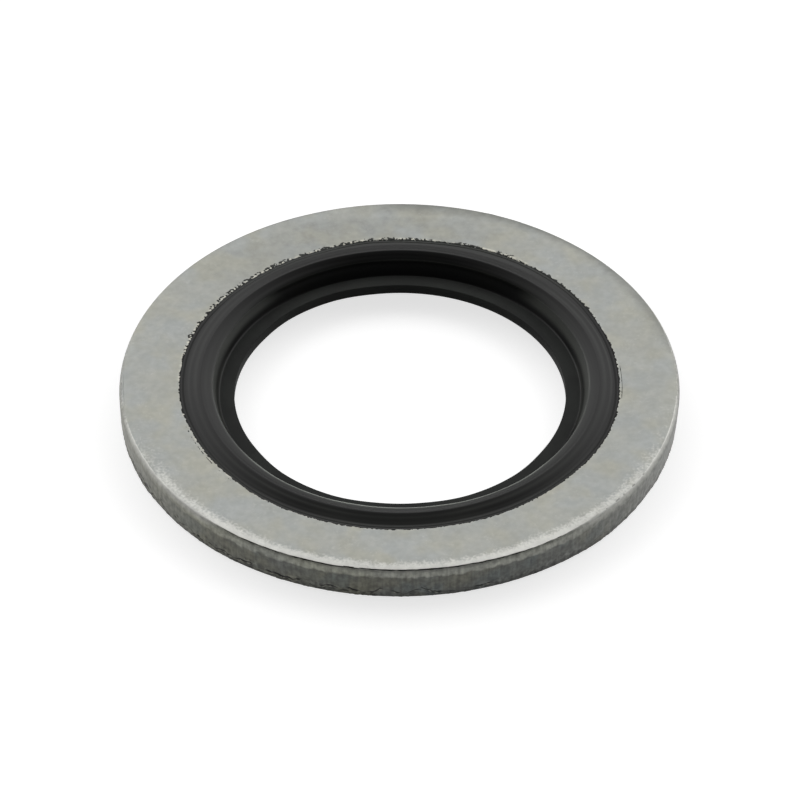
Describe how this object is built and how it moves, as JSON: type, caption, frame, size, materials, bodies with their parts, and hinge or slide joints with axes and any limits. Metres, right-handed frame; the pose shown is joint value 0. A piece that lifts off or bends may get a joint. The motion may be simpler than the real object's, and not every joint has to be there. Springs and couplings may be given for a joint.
{
  "type": "bonded sealing washer",
  "caption": "Flat steel ring with a black rubber seal bonded in its bore: a raised lip on each face and a thin centring web around the hole.",
  "frame": {"origin": "on the axis, in the plane that the lower sealing lip stands on", "axes": "+Z along the axis, away from the surface it lies on, towards the face with the rounded outside edge; the part is round, so X and Y are free"},
  "size_m": [0.024, 0.024, 0.0019],
  "materials": {
    "zinc_plated_steel": "dull zinc plating, matt, with faint cloudy tints; sheared outside edge",
    "black_rubber": "satin black moulded rubber with fine flow lines"
  },
  "bodies": {
    "root": {"steel_ring": "zinc_plated_steel", "rubber_seal": "black_rubber"}
  },
  "joints": []
}
